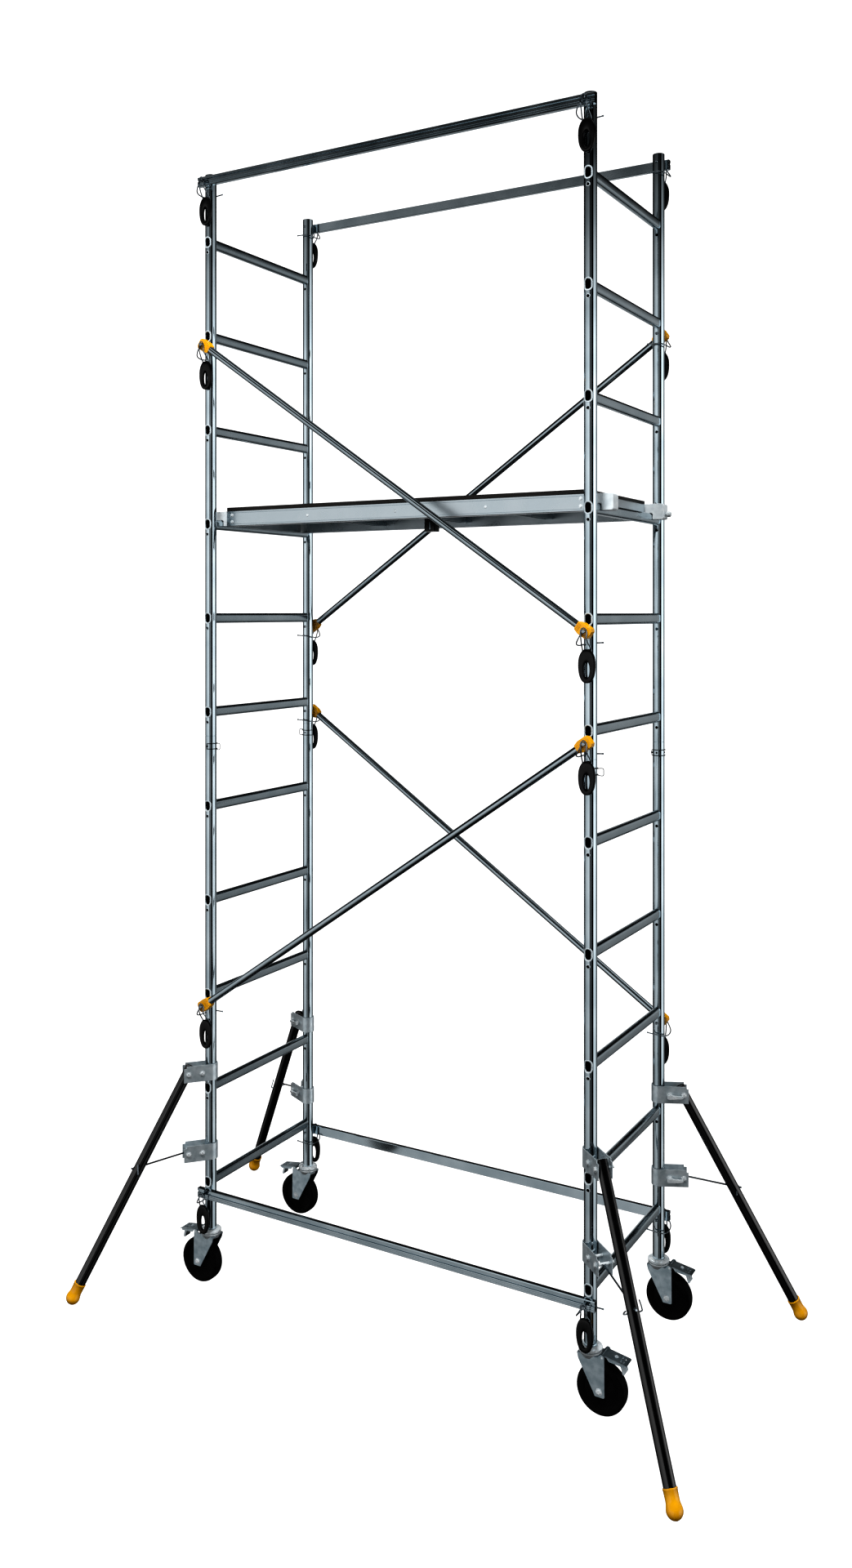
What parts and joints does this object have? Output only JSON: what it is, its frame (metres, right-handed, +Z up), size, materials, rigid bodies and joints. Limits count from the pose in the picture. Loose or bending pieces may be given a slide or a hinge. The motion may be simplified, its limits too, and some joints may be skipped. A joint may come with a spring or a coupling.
{
  "type": "mobile tower scaffold",
  "caption": "Narrow wheeled scaffold tower: stacked ladder frames, rails, zigzag braces, a hooked-on platform, braked swivel castors and folding outriggers.",
  "frame": {"origin": "on the floor under the middle of the bounding box", "axes": "+Z up along the posts, X along the platform, -Y the side whose outriggers stand out further"},
  "size_m": [1.9764, 1.0099, 3.309],
  "materials": {
    "aluminium": "mill-finish extruded tube, fine lengthwise lines",
    "steel": "zinc-plated pressed steel",
    "bracket_steel": "zinc-plated folded sheet, darker than the forks",
    "black_paint": "semi-gloss black powder coat",
    "black_plastic": "moulded, slightly glossy",
    "yellow_plastic": "moulded orange-yellow",
    "rubber": "matt black rubber wheel",
    "ply": "black film-faced plywood with a fine non-slip texture"
  },
  "bodies": {
    "tower": {"frame_lower_left": "aluminium", "frame_lower_right": "aluminium", "frame_upper_left": "aluminium", "frame_upper_right": "aluminium", "base_rail_front": "aluminium", "base_rail_rear": "aluminium", "guard_rail_front": "aluminium", "guard_rail_rear": "aluminium", "brace_lower_front": "aluminium", "brace_lower_rear": "aluminium", "brace_upper_front": "aluminium", "brace_upper_rear": "aluminium", "platform_frame": "aluminium", "platform_deck": "ply", "platform_catch": "black_plastic"},
    "fork_front_right": {"castor_fork_front_right": "steel"},
    "fork_front_left": {"castor_fork_front_left": "steel"},
    "fork_rear_right": {"castor_fork_rear_right": "steel"},
    "fork_rear_left": {"castor_fork_rear_left": "steel"},
    "wheel_front_right": {"castor_wheel_front_right": "rubber"},
    "wheel_front_left": {"castor_wheel_front_left": "rubber"},
    "wheel_rear_right": {"castor_wheel_rear_right": "rubber"},
    "wheel_rear_left": {"castor_wheel_rear_left": "rubber"},
    "outrigger_front_right": {"outrigger_upper_bracket_front_right": "bracket_steel", "outrigger_lower_bracket_front_right": "bracket_steel"},
    "outrigger_front_left": {"outrigger_upper_bracket_front_left": "bracket_steel", "outrigger_lower_bracket_front_left": "bracket_steel"},
    "outrigger_rear_right": {"outrigger_upper_bracket_rear_right": "bracket_steel", "outrigger_lower_bracket_rear_right": "bracket_steel"},
    "outrigger_rear_left": {"outrigger_upper_bracket_rear_left": "bracket_steel", "outrigger_lower_bracket_rear_left": "bracket_steel"},
    "leg_front_right": {"outrigger_leg_front_right": "black_paint", "outrigger_foot_front_right": "yellow_plastic"},
    "leg_front_left": {"outrigger_leg_front_left": "black_paint", "outrigger_foot_front_left": "yellow_plastic"},
    "leg_rear_right": {"outrigger_leg_rear_right": "black_paint", "outrigger_foot_rear_right": "yellow_plastic"},
    "leg_rear_left": {"outrigger_leg_rear_left": "black_paint", "outrigger_foot_rear_left": "yellow_plastic"},
    "pedal_front_right": {"castor_pedal_front_right": "steel"},
    "pedal_front_left": {"castor_pedal_front_left": "steel"},
    "pedal_rear_right": {"castor_pedal_rear_right": "steel"},
    "pedal_rear_left": {"castor_pedal_rear_left": "steel"},
    "handle_base_front_left": {"clip_handle_base_front_left": "black_plastic"},
    "handle_guard_front_left": {"clip_handle_guard_front_left": "black_plastic"},
    "handle_base_front_right": {"clip_handle_base_front_right": "black_plastic"},
    "handle_guard_front_right": {"clip_handle_guard_front_right": "black_plastic"},
    "handle_base_rear_right": {"clip_handle_base_rear_right": "black_plastic"},
    "handle_guard_rear_right": {"clip_handle_guard_rear_right": "black_plastic"},
    "handle_base_rear_left": {"clip_handle_base_rear_left": "black_plastic"},
    "handle_guard_rear_left": {"clip_handle_guard_rear_left": "black_plastic"},
    "handle_upper_brace_front_left": {"clip_handle_upper_brace_front_left": "black_plastic"},
    "handle_upper_brace_front_right": {"clip_handle_upper_brace_front_right": "black_plastic"},
    "handle_lower_brace_front_left": {"clip_handle_lower_brace_front_left": "black_plastic"},
    "handle_lower_brace_front_right": {"clip_handle_lower_brace_front_right": "black_plastic"},
    "handle_upper_brace_rear_left": {"clip_handle_upper_brace_rear_left": "black_plastic"},
    "handle_upper_brace_rear_right": {"clip_handle_upper_brace_rear_right": "black_plastic"},
    "handle_lower_brace_rear_left": {"clip_handle_lower_brace_rear_left": "black_plastic"},
    "handle_lower_brace_rear_right": {"clip_handle_lower_brace_rear_right": "black_plastic"}
  },
  "joints": [
    {"name": "castor_swivel_front_right", "type": "hinge", "parent": "tower", "child": "fork_front_right", "pos_m": [0.61, -0.18935, 0.15], "axis": [0, 0, 1], "continuous": true},
    {"name": "castor_swivel_front_left", "type": "hinge", "parent": "tower", "child": "fork_front_left", "pos_m": [-0.61, -0.18935, 0.15], "axis": [0, 0, 1], "continuous": true},
    {"name": "castor_swivel_rear_right", "type": "hinge", "parent": "tower", "child": "fork_rear_right", "pos_m": [0.61, 0.31065, 0.15], "axis": [0, 0, 1], "continuous": true},
    {"name": "castor_swivel_rear_left", "type": "hinge", "parent": "tower", "child": "fork_rear_left", "pos_m": [-0.61, 0.31065, 0.15], "axis": [0, 0, 1], "continuous": true},
    {"name": "wheel_spin_front_right", "type": "hinge", "parent": "fork_front_right", "child": "wheel_front_right", "pos_m": [0.642, -0.18935, 0.065], "axis": [0, 1, 0], "continuous": true},
    {"name": "wheel_spin_front_left", "type": "hinge", "parent": "fork_front_left", "child": "wheel_front_left", "pos_m": [-0.642, -0.18935, 0.065], "axis": [0, 1, 0], "continuous": true},
    {"name": "wheel_spin_rear_right", "type": "hinge", "parent": "fork_rear_right", "child": "wheel_rear_right", "pos_m": [0.642, 0.31065, 0.065], "axis": [0, 1, 0], "continuous": true},
    {"name": "wheel_spin_rear_left", "type": "hinge", "parent": "fork_rear_left", "child": "wheel_rear_left", "pos_m": [-0.642, 0.31065, 0.065], "axis": [0, 1, 0], "continuous": true},
    {"name": "outrigger_swing_front_right", "type": "hinge", "parent": "tower", "child": "outrigger_front_right", "pos_m": [0.61, -0.18935, 0.516], "axis": [0, 0, 1], "range_deg": [-46, 38]},
    {"name": "outrigger_swing_front_left", "type": "hinge", "parent": "tower", "child": "outrigger_front_left", "pos_m": [-0.61, -0.18935, 0.516], "axis": [0, 0, 1], "range_deg": [-45, 39]},
    {"name": "outrigger_swing_rear_right", "type": "hinge", "parent": "tower", "child": "outrigger_rear_right", "pos_m": [0.61, 0.31065, 0.516], "axis": [0, 0, 1], "range_deg": [-23, 61]},
    {"name": "outrigger_swing_rear_left", "type": "hinge", "parent": "tower", "child": "outrigger_rear_left", "pos_m": [-0.61, 0.31065, 0.516], "axis": [0, 0, 1], "range_deg": [-61, 23]},
    {"name": "leg_fold_front_right", "type": "hinge", "parent": "outrigger_front_right", "child": "leg_front_right", "pos_m": [0.66207, -0.23462, 0.634], "axis": [-0.6561, -0.7547, 0], "range_deg": [0, 110]},
    {"name": "leg_fold_front_left", "type": "hinge", "parent": "outrigger_front_left", "child": "leg_front_left", "pos_m": [-0.65617, -0.24063, 0.634], "axis": [-0.7431, 0.6691, 0], "range_deg": [0, 110]},
    {"name": "leg_fold_rear_right", "type": "hinge", "parent": "outrigger_rear_right", "child": "leg_rear_right", "pos_m": [0.67202, 0.3409, 0.634], "axis": [0.4384, -0.8988, 0], "range_deg": [0, 110]},
    {"name": "leg_fold_rear_left", "type": "hinge", "parent": "outrigger_rear_left", "child": "leg_rear_left", "pos_m": [-0.67202, 0.3409, 0.634], "axis": [0.4384, 0.8988, 0], "range_deg": [0, 110]},
    {"name": "brake_pedal_front_right", "type": "hinge", "parent": "fork_front_right", "child": "pedal_front_right", "pos_m": [0.65, -0.18935, 0.152], "axis": [0, 1, 0], "range_deg": [0, 8]},
    {"name": "brake_pedal_front_left", "type": "hinge", "parent": "fork_front_left", "child": "pedal_front_left", "pos_m": [-0.65, -0.18935, 0.152], "axis": [0, -1, 0], "range_deg": [0, 8]},
    {"name": "brake_pedal_rear_right", "type": "hinge", "parent": "fork_rear_right", "child": "pedal_rear_right", "pos_m": [0.65, 0.31065, 0.152], "axis": [0, 1, 0], "range_deg": [0, 8]},
    {"name": "brake_pedal_rear_left", "type": "hinge", "parent": "fork_rear_left", "child": "pedal_rear_left", "pos_m": [-0.65, 0.31065, 0.152], "axis": [0, -1, 0], "range_deg": [0, 8]},
    {"name": "pull_handle_base_front_left", "type": "hinge", "parent": "tower", "child": "handle_base_front_left", "pos_m": [-0.61, -0.22555, 0.24], "axis": [-1, 0, 0], "range_deg": [0, 85]},
    {"name": "pull_handle_guard_front_left", "type": "hinge", "parent": "tower", "child": "handle_guard_front_left", "pos_m": [-0.61, -0.21285, 3.234], "axis": [-1, 0, 0], "range_deg": [0, 85]},
    {"name": "pull_handle_base_front_right", "type": "hinge", "parent": "tower", "child": "handle_base_front_right", "pos_m": [0.61, -0.22555, 0.24], "axis": [-1, 0, 0], "range_deg": [0, 85]},
    {"name": "pull_handle_guard_front_right", "type": "hinge", "parent": "tower", "child": "handle_guard_front_right", "pos_m": [0.61, -0.21285, 3.234], "axis": [-1, 0, 0], "range_deg": [0, 85]},
    {"name": "pull_handle_base_rear_right", "type": "hinge", "parent": "tower", "child": "handle_base_rear_right", "pos_m": [0.61, 0.34685, 0.24], "axis": [1, 0, 0], "range_deg": [0, 85]},
    {"name": "pull_handle_guard_rear_right", "type": "hinge", "parent": "tower", "child": "handle_guard_rear_right", "pos_m": [0.61, 0.33415, 3.234], "axis": [1, 0, 0], "range_deg": [0, 85]},
    {"name": "pull_handle_base_rear_left", "type": "hinge", "parent": "tower", "child": "handle_base_rear_left", "pos_m": [-0.61, 0.34685, 0.24], "axis": [1, 0, 0], "range_deg": [0, 85]},
    {"name": "pull_handle_guard_rear_left", "type": "hinge", "parent": "tower", "child": "handle_guard_rear_left", "pos_m": [-0.61, 0.33415, 3.234], "axis": [1, 0, 0], "range_deg": [0, 85]},
    {"name": "pull_handle_upper_brace_front_left", "type": "hinge", "parent": "tower", "child": "handle_upper_brace_front_left", "pos_m": [-0.61, -0.21285, 2.746], "axis": [-1, 0, 0], "range_deg": [0, 85]},
    {"name": "pull_handle_upper_brace_front_right", "type": "hinge", "parent": "tower", "child": "handle_upper_brace_front_right", "pos_m": [0.61, -0.21285, 1.906], "axis": [-1, 0, 0], "range_deg": [0, 85]},
    {"name": "pull_handle_lower_brace_front_left", "type": "hinge", "parent": "tower", "child": "handle_lower_brace_front_left", "pos_m": [-0.61, -0.21285, 0.786], "axis": [-1, 0, 0], "range_deg": [0, 85]},
    {"name": "pull_handle_lower_brace_front_right", "type": "hinge", "parent": "tower", "child": "handle_lower_brace_front_right", "pos_m": [0.61, -0.21285, 1.626], "axis": [-1, 0, 0], "range_deg": [0, 85]},
    {"name": "pull_handle_upper_brace_rear_left", "type": "hinge", "parent": "tower", "child": "handle_upper_brace_rear_left", "pos_m": [-0.61, 0.33415, 1.906], "axis": [1, 0, 0], "range_deg": [0, 85]},
    {"name": "pull_handle_upper_brace_rear_right", "type": "hinge", "parent": "tower", "child": "handle_upper_brace_rear_right", "pos_m": [0.61, 0.33415, 2.746], "axis": [1, 0, 0], "range_deg": [0, 85]},
    {"name": "pull_handle_lower_brace_rear_left", "type": "hinge", "parent": "tower", "child": "handle_lower_brace_rear_left", "pos_m": [-0.61, 0.33415, 1.626], "axis": [1, 0, 0], "range_deg": [0, 85]},
    {"name": "pull_handle_lower_brace_rear_right", "type": "hinge", "parent": "tower", "child": "handle_lower_brace_rear_right", "pos_m": [0.61, 0.33415, 0.786], "axis": [1, 0, 0], "range_deg": [0, 85]}
  ]
}
